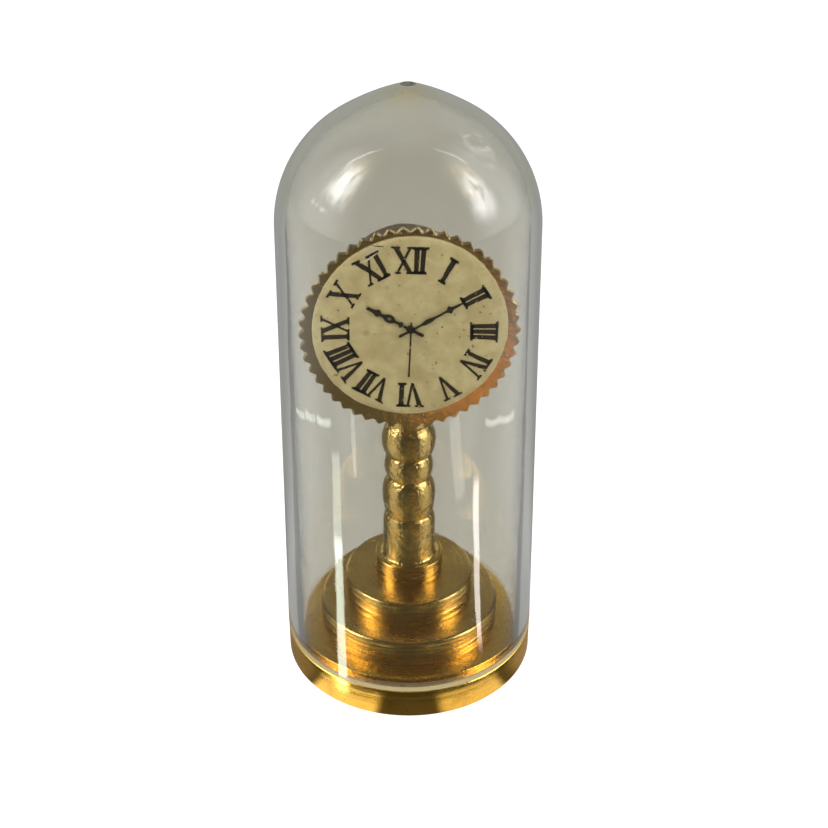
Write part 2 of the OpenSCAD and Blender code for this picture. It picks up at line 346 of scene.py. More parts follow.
# Marks on the card: place, radius, strength and colour of each
card_marks = (
    (-4.93, 1.59, 0.07, 0.8, (0.12, 0.08, 0.04)), (2.17, 0.08, 0.07, 0.9, (0.10, 0.07, 0.03)),
    (0.29, 1.13, 0.05, 0.7, (0.16, 0.11, 0.05)), (0.92, -1.98, 0.05, 0.7, (0.16, 0.11, 0.05)),
    (-3.1, -0.2, 0.22, 0.35, (0.30, 0.24, 0.13)), (-1.6, 3.2, 0.16, 0.3, (0.34, 0.27, 0.14)),
    (-2.75, 5.85, 0.42, 0.5, (0.66, 0.60, 0.44)), (3.6, -2.7, 0.12, 0.35, (0.30, 0.22, 0.11)))

paper_light, paper_dark = (0.84, 0.725, 0.385), (0.695, 0.575, 0.29)
stain_brown, fibre_brown, spot_brown = (0.58, 0.45, 0.21), (0.50, 0.41, 0.20), (0.20, 0.15, 0.08)
edge_pale_cream = (0.86, 0.80, 0.52)


def paper_material():
    """Aged paper: mottled and stained, with fibres, small spots, the card's marks and paler towards its edge.
    """
    mat, n = new_material("card_paper")
    at, x, _, z = n.position_mm()
    mottle = n.noise(at, scale=1.1, detail=4.0, roughness=0.6)
    fibre = n.noise(at, scale=9.0, detail=3.0, roughness=0.7)
    stain = n.ramp(n.noise(at, scale=0.5, detail=3.0, roughness=0.6, distortion=0.6), 0.42, 0.7)
    spot = n.ramp(n.noise(at, scale=3.1, detail=1.0, roughness=0.4), 0.735, 0.77)
    colour = n.mix(n.ramp(mottle, 0.3, 0.7), paper_light, paper_dark)
    colour = n.mix(n.times(stain, 0.55), colour, stain_brown)
    for u, w, size, strength, dark in card_marks:
        off = n.plus(n.length(n.minus(x, u), n.minus(z, card_z + w)), n.times(fibre, size * 0.5))
        colour = n.mix(n.times(n.ramp(off, size * 1.6, size * 0.9), strength), colour, dark)
    colour = n.mix(n.times(n.ramp(fibre, 0.45, 0.8), 0.16), colour, fibre_brown)
    colour = n.mix(n.times(spot, 0.7), colour, spot_brown)
    # Paler towards the edge all round.
    edge = n.ramp(n.length(x, n.minus(z, card_z)), card_r - 0.25, card_r + 0.02)
    colour = n.mix(n.times(edge, 0.35), colour, edge_pale_cream)
    bump = n.bump(0.012, n.plus(mottle, n.times(fibre, 0.4)))
    n.surface(bump, Base_Color=colour, Roughness=0.72, Specular_IOR_Level=0.35)
    return mat


def torn_paper_material():
    """The card's pale inside, where it is torn."""
    mat, n = new_material("torn_paper")
    fibre = n.noise(n.position_mm()[0], scale=12.0, detail=3.0, roughness=0.7)
    colour = n.mix(n.ramp(fibre, 0.35, 0.7), (0.90, 0.84, 0.66), (0.74, 0.66, 0.46))
    n.surface(n.bump(0.015, fibre), Base_Color=colour, Roughness=0.8, Specular_IOR_Level=0.3)
    return mat


def ink_material():
    """Printed black, worn brown in places; the same material also paints shade in the card's tear and crease.
    """
    mat, n = new_material("print_ink_and_painted_shade")
    worn = n.ramp(n.noise(n.position_mm()[0], scale=7.0, detail=3.0, roughness=0.7), 0.52, 0.8)
    colour = n.mix(n.times(worn, 0.5), (0.036, 0.024, 0.012), (0.16, 0.115, 0.055))
    bump = n.bump(0.006, worn, strength=0.6)
    n.surface(bump, Base_Color=colour, Roughness=0.6, Specular_IOR_Level=0.3)
    return mat


def black_metal_material():
    """The blackened metal of the hands."""
    mat, n = new_material("black_metal")
    at = n.position_mm()[0]
    wear = n.ramp(n.noise(at, scale=4.0, detail=3.0, roughness=0.6), 0.5, 0.8)
    colour = n.mix(wear, (0.028, 0.021, 0.012), (0.075, 0.055, 0.03))
    rough = n.plus(0.48, n.times(wear, 0.15))
    bump = n.bump(0.004, n.noise(at, scale=14.0), strength=0.7)
    n.surface(bump, Base_Color=colour, Roughness=rough, Specular_IOR_Level=0.35)
    return mat


# The dome's tint where its wall is seen straight on; lighter tints aslant and at a steeper slant, a painted
# sheen at its edges; and its two stains
front_tint, aslant_sheen_tint, steep_sheen_tint = (0.60, 0.588, 0.53), (0.662, 0.657, 0.605), (0.755, 0.75, 0.70)
crown_tint, tip_stain = (0.67, 0.65, 0.53), (0.70, 0.62, 0.38)


def clear_material(name, frost, brass_light_cast=(1.0, 1.0, 1.0)):
    """Clear moulded plastic; frost adds the haze of a sanded or moulded edge, and the warm colour given for
    it is painted light, the brass's glow scattered in the haze.
    """
    mat, n = new_material(name)
    at, x, y, z = n.position_mm()
    tip_z = dome_hi.z
    aged = n.times(n.ramp(z, tip_z - 5.5, tip_z), n.ramp(n.noise(at, scale=0.45), 0.3, 0.7))
    blotch = n.ramp(n.noise(at, scale=1.3, detail=3.0), 0.2, 0.6)
    stain = n.times(n.ramp(n.length(x, y), 2.6, 0.7), blotch)
    slant = n.add("ShaderNodeLayerWeight", "Facing", None, Blend=0.5)
    # Painted sheen: the wall's tint turns lighter the more aslant it is seen.
    colour = n.mix(n.ramp(slant, 0.14, 0.25), front_tint, aslant_sheen_tint)
    colour = n.mix(n.ramp(slant, 0.30, 0.55), colour, steep_sheen_tint)
    colour = n.mix(n.times(aged, 0.6), colour, crown_tint)
    colour = n.mix(n.times(stain, n.ramp(z, tip_z - 3.0, tip_z - 2.0)), colour, tip_stain)
    # Painted light: the frosted edge takes a warm colour for the brass's light scattered in it.
    colour = n.mix(min(frost * 4, 1.0), colour, brass_light_cast)
    flow = n.noise(at, scale=0.16, detail=1.0)
    ripple = n.noise(n.combine(x, y, n.times(z, 0.25)), scale=0.5)
    pits = n.ramp(n.noise(at, scale=3.5, detail=1.0), 0.72, 0.8)
    height = n.plus(n.times(flow, 1.2), n.times(ripple, 0.4), n.times(pits, 0.12))
    haze = n.ramp(n.noise(at, scale=0.8, detail=4.0, roughness=0.7, distortion=0.5), 0.5, 0.85)
    rough = n.plus(0.035 + frost, n.times(haze, 0.09))
    n.surface(n.bump(0.035, height), Base_Color=colour, Roughness=rough, IOR=1.49,
              Transmission_Weight=1.0 - frost)
    return mat


def gate_material():
    """The rough, dark mark that the mould's gate left on the tip."""
    mat, n = new_material("gate_mark")
    at = n.position_mm()[0]
    colour = n.mix(n.ramp(n.noise(at, scale=9.0), 0.3, 0.7), (0.055, 0.05, 0.04), (0.17, 0.155, 0.11))
    n.surface(n.bump(0.02, n.noise(at, scale=12.0)), Base_Color=colour, Roughness=0.45)
    return mat


paper = paper_material()
torn_paper = torn_paper_material()
print_and_shade_ink = ink_material()
black_metal = black_metal_material()
clear = clear_material("clear_plastic", 0.0)
# The rim's and the foot's warm colours are painted brass light in the frosted plastic.
rim_clear = clear_material("clear_rim", 0.20, (0.74, 0.68, 0.43))
sanded_clear = clear_material("clear_foot", 0.75, (0.73, 0.59, 0.33))
gate_mark = gate_material()


# The turned stand

# Height from the middle of a tool line, and the share of the line's depth there
tool_line = ((-0.07, 0.0), (-0.015, 1.0), (0.02, 0.8), (0.05, 0.0))


def scored_wall(r, z0, z1, lines):
    """Points up a turned wall with shallow tool lines, each a share of its height and a depth."""
    wall = []
    for share, cut in lines:
        z = z0 + (z1 - z0) * share
        wall += [(r - cut * deep, z + up) for up, deep in tool_line]
    return wall


step_r = 8.6
screw_hole_r = 0.8
counterbore_r, counterbore_h, counterbore_edge = 1.6, 1.1, 0.08
flange_edge, step_fillet = 0.1, 0.03
flange_lines = ((0.3, 0.004), (0.74, 0.006))


def build_flange():
    """The flange with its raised step, counterbored from below for the screw."""
    outline = [(screw_hole_r, counterbore_h), (counterbore_r, counterbore_h)]
    outline += [(counterbore_r, counterbore_edge), (counterbore_r + counterbore_edge, 0.0)]
    outline += [(flange_r - flange_edge, 0.0), (flange_r, flange_edge)]
    outline += scored_wall(flange_r, flange_edge, flange_top - 0.12, flange_lines)
    outline += arc(flange_r - flange_edge, flange_top - flange_edge, flange_edge, 0, 90, 4)
    outline += [(step_r + step_fillet, flange_top), (step_r, flange_top + step_fillet)]
    outline += [(step_r, step_top - flange_edge)]
    outline += arc(step_r - flange_edge, step_top - flange_edge, flange_edge, 0, 90, 4)
    outline += [(screw_hole_r, step_top)]
    bm = bmesh.new()
    lathe(bm, outline, closed=True)
    flange = mesh_object("base_flange_turned", bm, "stand", flange_brass)
    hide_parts("base_flange")


tenon_bore_r = 1.12
disc_chamfer = 0.04


def build_disc(name, node, lo, hi, edge, lines):
    """A disc of the stand with a scored wall, its top edge rounded by the given radius."""
    r = hi.x
    outline = [(tenon_bore_r, lo.z), (r - disc_chamfer, lo.z), (r, lo.z + disc_chamfer)]
    outline += scored_wall(r, lo.z + disc_chamfer, hi.z - edge, lines)
    outline += arc(r - edge, hi.z - edge, edge, 0, 90, 6)
    outline += [(tenon_bore_r, hi.z)]
    bm = bmesh.new()
    lathe(bm, outline, closed=True)
    ob = mesh_object(name, bm, "stand", turned)
    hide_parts(node)


shaft_r, shaft_h, flare = 2.04, 1.8, 0.3
waist_r, narrow_r, neck_r, neck_h = 1.82, 1.6, 1.45, 4.12
foot_tenon_r, head_tenon_r, head_tenon_l = 1.1, 0.9, 2.2
thread_r, thread_gap = 0.71, 0.3
# Height, greatest radius, radius at the foot and at the top, and lean of each bead, from the lowest up
beads = ((1.95, 2.02, shaft_r, waist_r, 1.0), (3.2, 2.04, waist_r, narrow_r, 1.05),
         (1.97, 1.86, narrow_r, narrow_r, 1.0), (2.75, 2.06, narrow_r, neck_r, 0.9))


def bead(z0, h, r, foot_r, top_r, lean, steps=22):
    """Points up a rounded bead; a lean over 1 lifts its fullest part."""
    fullness = 0.7
    out = []
    for i in range(steps + 1):
        t = i / steps
        waist = foot_r + (top_r - foot_r) * t
        swell = max(math.sin(math.pi * t ** lean), 0) ** fullness
        out.append((waist + (r - waist) * swell, z0 + h * t))
    return out


def build_column():
    """The column, from the screw's blind hole in its foot up to the tenon in the head."""
    thread_top = screw_end_z + thread_gap
    outline = [(0.0, thread_top), (thread_r, thread_top), (thread_r, column_foot_z),
               (foot_tenon_r, column_foot_z), (foot_tenon_r, collar_hi.z)]
    outline += arc(shaft_r + flare, collar_hi.z + flare, flare, 270, 180, 6)
    z = collar_hi.z + shaft_h
    for h, r, foot_r, top_r, lean in beads:
        outline += bead(z, h, r, foot_r, top_r, lean)
        z += h
    neck_top = z + neck_h
    outline += [(neck_r, neck_top), (head_tenon_r, neck_top), (head_tenon_r, neck_top + head_tenon_l),
                (0.0, neck_top + head_tenon_l)]
    bm = bmesh.new()
    lathe(bm, outline, segments=160)
    column = mesh_object("column_turned", bm, "stand", column_brass, smooth_angle=40)
    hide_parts("column")


build_flange()
build_disc("lower_tier_turned", "lower_tier", lower_lo, lower_hi, edge=0.26,
           lines=((0.12, 0.03), (0.31, 0.02), (0.52, 0.035), (0.66, 0.015), (0.88, 0.03)))
build_disc("upper_tier_turned", "upper_tier", upper_lo, upper_hi, edge=0.22,
           lines=((0.16, 0.02), (0.42, 0.035), (0.60, 0.015), (0.84, 0.03)))
build_disc("collar_turned", "collar", collar_lo, collar_hi, edge=0.12,
           lines=((0.22, 0.02), (0.55, 0.03), (0.8, 0.015)))
build_column()

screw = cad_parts["base_screw"]
screw.data.materials.clear()
screw.data.materials.append(screw_metal)


# The toothed head

tooth_count, tooth_steps = 50, 12
tooth_depth, face_land = 0.3, 0.12
tooth_point_share, tooth_wear = 0.25, 0.12
rim_r, rim_t = head_hi.x, 0.6
drum_r, drum_edge, drum_fillet = 4.74, 0.25, 0.05
centre_bore_r, centre_bore_depth = 0.3, 1.5
centre_mark_r, centre_mark_depth = 0.28, 0.16


def tooth_ring(depth, inset):
    """The outline of the rounded, worn teeth at a depth behind the face, drawn in by an inset."""
    ring = []
    for i in range(tooth_count * tooth_steps):
        share = i % tooth_steps / tooth_steps
        wear = tooth_wear * abs(noise.noise(Vector((i // tooth_steps * 1.7, 0.4, 2.0))))
        pointed = 1 - abs(2 * share - 1)
        rounded = (1 - math.cos(TAU * share)) / 2
        peak = tooth_point_share * pointed + (1 - tooth_point_share) * rounded
        turn = TAU * i / (tooth_count * tooth_steps)
        r = rim_r - tooth_depth * (1 - peak * (1 - wear)) - inset
        ring.append(on_face(r * math.sin(turn), r * math.cos(turn), -depth))
    return ring


def head_ring(r, depth, place=on_face):
    """A round ring with as many points as the teeth have, at a depth behind the face."""
    return face_ring(r, -depth, tooth_count * tooth_steps, place)


def build_head():
    """The toothed rim with the drum behind it, bored for the hands and centre-marked at the back."""
    back = head_hi.y - head_lo.y
    bm = bmesh.new()
    add_rings(bm, [
        head_ring(0, centre_bore_depth, on_card), head_ring(centre_bore_r, centre_bore_depth, on_card),
        head_ring(centre_bore_r, 0, on_card), head_ring(rim_r - tooth_depth - face_land, 0),
        tooth_ring(0.0, 0.07), tooth_ring(0.025, 0.025), tooth_ring(0.09, 0.0),
        tooth_ring(rim_t - 0.1, 0.0), tooth_ring(rim_t, 0.09),
        head_ring(drum_r + drum_fillet, rim_t), head_ring(drum_r, rim_t + drum_fillet),
        head_ring(drum_r, back - drum_edge), head_ring(drum_r - drum_edge * 0.3, back - drum_edge * 0.3),
        head_ring(drum_r - drum_edge, back), head_ring(centre_mark_r, back),
        head_ring(0.12, back - 0.12), head_ring(0, back - centre_mark_depth)])
    head = mesh_object("clock_head_toothed", bm, "stand", toothed, smooth_angle=28)
    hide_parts("clock_head")


build_head()


# The paper card and its print

edge_stray, edge_fray = 0.035, 0.018
card_segments, card_rings = 300, 24
card_sag, card_slack = 0.012, 0.014


def ragged(turn):
    """How far the hand-cut edge strays from the circle."""
    at = Vector((math.cos(turn) * 2.2, math.sin(turn) * 2.2, 0.7))
    return edge_stray * noise.noise(at) + edge_fray * noise.noise(at * 5)


def card_ring(share, height):
    """A ring of the card at a share of the way to its edge; the printed side is slightly uneven."""
    ring = []
    for i in range(card_segments):
        turn = TAU * i / card_segments
        r = centre_bore_r + (card_r - edge_stray + ragged(turn) - centre_bore_r) * share
        u, w = r * math.sin(turn), r * math.cos(turn)
        uneven = card_sag * noise.noise(Vector((u * 0.5, w * 0.5, 3.1))) - card_slack
        ring.append(on_card(u, w, height + (uneven if height > card_t / 3 else 0)))
    return ring


def build_card():
    """The card, from the back round the bore, over the printed side and down its soft edge."""
    bm = bmesh.new()
    front = [card_ring(i / card_rings, card_t) for i in range(card_rings)]
    edge = [card_ring(0.996, card_t), card_ring(1.0, card_t - 0.02)]
    edge += [card_ring(1.0, 0.02), card_ring(0.997, 0.0)]
    add_rings(bm, [card_ring(0, 0.0)] + front + edge, closed=True)
    card = mesh_object("dial_card_paper", bm, "stand", paper, smooth_angle=40)
    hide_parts("dial_card")


# The print's centre on the card and its slope, as it is pasted a little off
print_u, print_w, print_slope = -0.04, -0.06, 0.055
numeral_in, numeral_out = 4.15, 6.10
numeral_mid = (numeral_in + numeral_out) / 2
serif, letter_gap = 0.075, 0.03
serif_neck = serif * 1.7
# Half the width of each letter and its strokes, as outlines of (across, share of the height)
letters = {
    "I": (0.20, [
        [(-0.165, 0.04), (0.165, 0.04), (0.165, 0.96), (-0.165, 0.96)],
        [(-0.33, 0.0), (0.33, 0.0), (0.33, serif), (0.14, serif_neck), (-0.14, serif_neck), (-0.33, serif)],
        [(-0.33, 1.0), (-0.33, 1 - serif), (-0.14, 1 - serif_neck), (0.14, 1 - serif_neck),
         (0.33, 1 - serif), (0.33, 1.0)]]),
    "V": (0.60, [
        [(-0.58, 0.97), (-0.25, 0.97), (0.14, 0.03), (0.05, -0.01), (-0.07, 0.03)],
        [(0.32, 0.97), (0.50, 0.97), (0.13, 0.0), (-0.02, 0.06)],
        [(-0.70, 1.0), (-0.70, 1 - serif), (-0.10, 1 - serif), (-0.10, 1.0)],
        [(0.20, 1.0), (0.20, 1 - serif), (0.66, 1 - serif), (0.66, 1.0)]]),
    "X": (0.64, [
        [(-0.62, 0.97), (-0.27, 0.97), (0.62, 0.03), (0.27, 0.03)],
        [(0.36, 0.97), (0.54, 0.97), (-0.38, 0.03), (-0.56, 0.03)],
        [(-0.74, 1.0), (-0.74, 1 - serif), (-0.16, 1 - serif), (-0.16, 1.0)],
        [(0.24, 1.0), (0.24, 1 - serif), (0.68, 1 - serif), (0.68, 1.0)],
        [(-0.70, 0.0), (-0.24, 0.0), (-0.24, serif), (-0.70, serif)],
        [(0.14, 0.0), (0.74, 0.0), (0.74, serif), (0.14, serif)]]),
}
numerals = ("XII", "I", "II", "III", "IV", "V", "VI", "VII", "VIII", "IX", "X", "XI")
print_back, print_front = card_t - 0.03, card_t + 0.006


def letter_spots(word):
    """Where the letters of a numeral stand across it, from its middle."""
    spots = [0.0]
    for left, right in zip(word, word[1:]):
        spots.append(spots[-1] + (letters[left][0] + letters[right][0] + letter_gap))
    middle = (spots[0] - letters[word[0]][0] + spots[-1] + letters[word[-1]][0]) / 2
    return [spot - middle for spot in spots]


def print_place(hour):
    """Puts a point of a numeral, across it and up it, on the card."""
    turn = TAU * hour / 12

    def place(across, up, depth):
        r = numeral_in + (numeral_out - numeral_in) * up
        across *= 0.55 + 0.45 * r / numeral_mid
        u = print_u + r * math.sin(turn) + across * math.cos(turn)
        w = print_w + r * math.cos(turn) - across * math.sin(turn) - print_slope * u
        return on_card(u, w, depth)
    return place


def build_numerals():
    """The twelve numerals, as thin raised print."""
    bm = bmesh.new()
    for hour, word in enumerate(numerals):
        place = print_place(hour)
        for spot, char in zip(letter_spots(word), word):
            for stroke in letters[char][1]:
                slab(bm, [(across + spot, up) for across, up in stroke], print_back, print_front, place)
    numeral_print = mesh_object("numerals_print", bm, "stand", print_and_shade_ink, smooth_angle=20)


def card_tear(name, outline, back, front, material):
    """A small flat piece of the card's torn place."""
    bm = bmesh.new()
    slab(bm, outline, back, front, on_card)
    ob = mesh_object(name, bm, "stand", material, smooth_angle=30)


build_card()
build_numerals()
# The paper is torn near XI: a pale lifted edge, a painted shadow in the gap above it and a painted shade line
# for the crease beyond
card_tear("card_torn_edge", [(-3.42, 4.95), (-3.01, 5.06), (-2.67, 5.27), (-2.33, 5.55), (-2.08, 5.77),
                             (-2.37, 5.61), (-2.71, 5.37), (-3.03, 5.16)],
          card_t - 0.02, card_t + 0.025, torn_paper)
# Painted shadow: a dark sliver stands for the shade in the gap above the lifted edge.
card_tear("card_tear_painted_shadow", [(-3.08, 5.24), (-2.72, 5.44), (-2.42, 5.64), (-2.22, 5.81), (-2.45, 5.72),
                            (-2.76, 5.53)], print_back, print_front, print_and_shade_ink)
# Painted shade: the crease is a dark line where its fold lies in shade.
card_tear("card_crease_painted_shade", [(-2.74, 6.28), (-2.32, 6.12), (-1.78, 6.08), (-1.79, 6.12), (-2.31, 6.18)],
          print_back, print_front, print_and_shade_ink)


# The hands

hand_t, hand_soft = 0.08, 0.012
boss_edge = 0.015
hole_segments, pipe_segments = 24, 48


def stamped_shape(name, half_outline, hole):
    """A flat mesh of a hand along +Y with softened edges, from (distance from the arbor, half width)."""
    curve = bpy.data.curves.new(name, "CURVE")
    curve.dimensions = "2D"
    curve.fill_mode = "BOTH"
    loops = [[(w, a) for a, w in half_outline] + [(-w, a) for a, w in reversed(half_outline)]]
    if hole:
        middle, half_l, half_w = hole
        turns = [TAU * i / hole_segments for i in range(hole_segments)]
        loops.append([(half_w * math.cos(turn), middle + half_l * math.sin(turn)) for turn in turns])
    for loop in loops:
        spline = curve.splines.new("POLY")
        spline.points.add(len(loop) - 1)
        for point, (x, y) in zip(spline.points, loop):
            point.co = (x, y, 0, 1)
        spline.use_cyclic_u = True
    curve.extrude = hand_t / 2 - hand_soft
    curve.bevel_depth = hand_soft
    curve.bevel_resolution = 1
    curve.offset = -hand_soft
    shape = bpy.data.objects.new(name, curve)
    flat = bpy.data.meshes.new_from_object(shape)
    bpy.data.objects.remove(shape)
    bpy.data.curves.remove(curve)
    return flat


def build_hand(name, node, body, half_outline, past_xii, pipe_r, pipe_bore, pipe_end, boss_r, hole=None):
    """A stamped hand, turned past XII by the given degrees, on its pipe or, with no bore, its arbor."""
    front = face_y - box_mm(node)[0].y
    back = front - hand_t
    flat = stamped_shape(name, half_outline, hole)
    bm = bmesh.new()
    bm.from_mesh(flat)
    bpy.data.meshes.remove(flat)
    turn = math.radians(past_xii)
    middle = (front + back) / 2
    for v in bm.verts:
        x, y, z = v.co
        across = x * math.cos(turn) + y * math.sin(turn)
        up = y * math.cos(turn) - x * math.sin(turn)
        v.co = on_card(across, up, middle + z)
    profile = ((pipe_bore, pipe_end), (pipe_r, pipe_end), (pipe_r, back), (boss_r, back),
               (boss_r, front - boss_edge), (boss_r - boss_edge, front), (pipe_bore, front))
    add_rings(bm, [face_ring(r, depth, pipe_segments) for r, depth in profile], closed=pipe_bore > 0)
    ob = mesh_object(name, bm, body, black_metal, smooth_angle=40)
    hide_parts(node)


# Each outline is (distance from the arbor, half width), from the tail to the tip
hour_half = [
    (-1.02, 0.09), (-0.85, 0.115), (-0.3, 0.09), (0.3, 0.09), (0.58, 0.085), (0.70, 0.15), (0.78, 0.25),
    (0.88, 0.15), (1.0, 0.09), (1.28, 0.10), (1.42, 0.21), (1.58, 0.29), (1.74, 0.31), (1.90, 0.28),
    (2.06, 0.17), (2.2, 0.11), (2.38, 0.12), (2.50, 0.22), (2.60, 0.28), (2.72, 0.22), (2.9, 0.13),
    (3.2, 0.12), (3.42, 0.13), (3.5, 0.09)]
minute_half = [
    (-1.02, 0.09), (-0.8, 0.10), (-0.2, 0.075), (0.75, 0.07), (0.9, 0.10), (1.15, 0.16), (1.33, 0.17),
    (1.6, 0.14), (1.95, 0.08), (2.5, 0.075), (2.8, 0.08), (2.92, 0.20), (3.02, 0.28), (3.11, 0.28),
    (3.21, 0.16), (3.35, 0.10), (3.7, 0.085), (4.03, 0.05)]
seconds_half = [
    (-0.64, 0.075), (-0.4, 0.07), (0.0, 0.06), (1.8, 0.06), (3.3, 0.06), (3.42, 0.08), (3.55, 0.07)]
build_hand("hour_hand_stamped", "hour_hand", "hour", hour_half, past_xii=300.5, pipe_r=0.27, pipe_bore=0.21,
           pipe_end=-0.6, boss_r=0.29, hole=(1.72, 0.15, 0.11))
build_hand("minute_hand_stamped", "minute_hand", "minute", minute_half, past_xii=61, pipe_r=0.18,
           pipe_bore=0.12, pipe_end=-0.9, boss_r=0.20)
build_hand("seconds_hand_stamped", "seconds_hand", "seconds", seconds_half, past_xii=182.5, pipe_r=0.09,
           pipe_bore=0.0, pipe_end=-1.2, boss_r=0.11)


# The dome

dome_wall, dome_fit = 1.07, 0.1
dome_draft, bore_draft = math.radians(1.0), math.radians(0.5)
shoulder_r, shoulder_turn, tip_r = 9.0, 59.0, 21.0
spring_over_head = 6.94
foot_lift, foot_round, foot_slope_h = 0.012, 0.16, 0.42
foot_chamfer, foot_taper = 0.1, 0.006
sanded_h, frosted_h = 0.05, 0.34
gate_r, gate_skirt = 0.5, 0.03

bore_r = step_r + dome_fit
spring_z = head_z + spring_over_head
rise = spring_z - flange_top
out_r = dome_rim_r - math.tan(dome_draft) * rise
shoulder_at = (out_r - shoulder_r, spring_z)
tip_at = (shoulder_at[0] - (tip_r - shoulder_r) * math.cos(math.radians(shoulder_turn)),
          shoulder_at[1] - (tip_r - shoulder_r) * math.sin(math.radians(shoulder_turn)))


def crown_height(r):
    """Height of the outside at a radius near the tip."""
    return tip_at[1] + math.sqrt(tip_r ** 2 - (r - tip_at[0]) ** 2)


def dome_side(foot_r, inset):
    """One surface of the dome from above its foot up to the axis, drawn in from the outside by an inset."""
    top_angle = math.degrees(math.acos(-tip_at[0] / (tip_r - inset)))
    wall_steps = 13
    side = []
    for i in range(1, wall_steps):
        t = i / wall_steps
        side.append((foot_r + (out_r - inset - foot_r) * t, flange_top + rise * t))
    shoulder = arc(*shoulder_at, shoulder_r - inset, 0, shoulder_turn, 26)[:-1]
    tip = [(max(r, 0.0), z) for r, z in arc(*tip_at, tip_r - inset, shoulder_turn, top_angle, 10)]
    return side + shoulder + tip


def dome_foot():
    """The foot from the bore outwards, just clear of the flange, with its outer edge rounded."""
    foot_z = flange_top + foot_lift
    foot = [(bore_r, flange_top + foot_slope_h), (bore_r, foot_z + foot_chamfer)]
    foot += [(bore_r + foot_chamfer, foot_z), (dome_rim_r - foot_round, foot_z)]
    foot += arc(dome_rim_r - foot_round, foot_z + foot_round, foot_round, 300, 360, 4)
    foot += [(dome_rim_r - foot_taper, flange_top + foot_slope_h)]
    return foot


def gate(foot_z):
    """The short stub of the gate on the tip, broken off a little hollow."""
    top = dome_hi.z - 0.002
    return [(gate_r + gate_skirt, foot_z), (gate_r, foot_z + 0.01), (gate_r - 0.02, top), (0.3, top - 0.02),
            (0.14, top - 0.006), (0.0, top - 0.015)]


def build_dome():
    """The dome as one closed wall: down the inside, round the foot, up the outside and over the gate."""
    crown_wall = dome_wall - math.tan(dome_draft) * rise + math.tan(bore_draft) * rise
    inner = dome_side(bore_r, crown_wall)
    outer = [p for p in dome_side(dome_rim_r, 0) if p[0] > gate_r + 2 * gate_skirt]
    gate_foot = crown_height(gate_r + gate_skirt) - 0.01
    bm = bmesh.new()
    lathe(bm, list(reversed(inner)) + dome_foot() + outer + gate(gate_foot), segments=256)
    dome = mesh_object("dome_clear", bm, "cover", clear, smooth_angle=50)
    for material in (rim_clear, gate_mark, sanded_clear):
        dome.data.materials.append(material)
    for poly in dome.data.polygons:
        height = poly.center.z / MM
        if height < flange_top + foot_lift + sanded_h:
            poly.material_index = 3
        elif height < flange_top + frosted_h:
            poly.material_index = 1
        elif height > gate_foot - 0.002:
            poly.material_index = 2
    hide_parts("dome")
    dome.visible_shadow = False
    dome.visible_diffuse = False
    dome.visible_glossy = False


build_dome()


# Floor and world, white to the camera and through the dome, and a room of levels in mirrors

# Azimuth is 0 in front of the dial and positive to its right, and elevation is up from the level, in degrees
in_wall_front, in_wall_guided = (0.19, 0.19, 0.18), (0.372, 0.376, 0.325)
white = (1.0, 1.0, 1.0)


def ray_kinds(n):
    """The light path, 1 for rays that see plain white and 1 for mirrored rays, which see the room."""
    path = n.tree.nodes.new("ShaderNodeLightPath")
    seen = n.maths("MAXIMUM", path.outputs["Is Camera Ray"], path.outputs["Is Transmission Ray"])
    mirrored = n.times(path.outputs["Is Glossy Ray"], n.minus(1.0, seen))
    return path, seen, mirrored


def by_path(n, path, on_plastic, on_brass, guided):
    """A mirrored ray's level: off the dome's outside, off the brass within it, or off the inside of its wall.

    Guided is 1 where a ray runs round in the wall near the dome's edges and 0 in front.
    """
    walls_crossed = path.outputs["Transmission Depth"]
    within_wall = n.maths("MODULO", walls_crossed, 2.0)
    outside = n.maths("LESS_THAN", walls_crossed, 0.5)
    level = n.mix(outside, n.grey(on_brass), n.grey(on_plastic))
    return n.mix(within_wall, level, n.mix(guided, in_wall_front, in_wall_guided))


def patch(n, azimuth, elevation, across, up, soft_across, soft_up):
    """1 within a patch of the room from one azimuth to another and one elevation to another."""
    return n.times(n.band(azimuth, *across, soft_across), n.band(elevation, *up, soft_up))


def windows(n, azimuth, elevation):
    """Two tall windows, one to each side of the clock, with uneven glass."""
    left = n.times(patch(n, azimuth, elevation, (-89.0, -67.0), (24.0, 50.0), 8.0, 9.0), 15.0)
    right = n.times(patch(n, azimuth, elevation, (60.0, 80.0), (14.0, 43.0), 8.0, 9.0), 13.0)
    streaky = n.noise(n.combine(azimuth, n.times(elevation, 0.5), 2.0), scale=0.16, detail=4.0, roughness=0.7)
    return n.times(n.plus(left, right), n.ramp(streaky, 0.25, 0.62))


def crown_marks(n, azimuth, elevation):
    """The glow round the windows, with thin bright edges and smears, as the dome's crown mirrors them."""
    left_edge = patch(n, azimuth, elevation, (-95.0, -92.0), (46.0, 71.0), 1.5, 4.0)
    right_edge = patch(n, azimuth, elevation, (86.5, 89.0), (50.0, 71.0), 1.5, 4.0)
    sill = patch(n, azimuth, elevation, (-99.0, -80.0), (12.0, 15.0), 3.0, 2.0)
    smear = patch(n, azimuth, elevation, (102.0, 130.0), (30.0, 50.0), 6.0, 5.0)
    cloudy = n.noise(n.combine(azimuth, elevation, 9.0), scale=0.16, detail=3.0, roughness=0.6)
    glow = patch(n, n.maths("ABSOLUTE", azimuth), elevation, (62.0, 108.0), (-4.0, 58.0), 16.0, 12.0)
    soft = n.times(n.plus(n.times(sill, 5.0), n.times(smear, 2.4)), n.ramp(cloudy, 0.4, 0.62))
    return n.plus(n.times(left_edge, 5.0), n.times(right_edge, 5.0), soft, n.times(glow, 2.2))


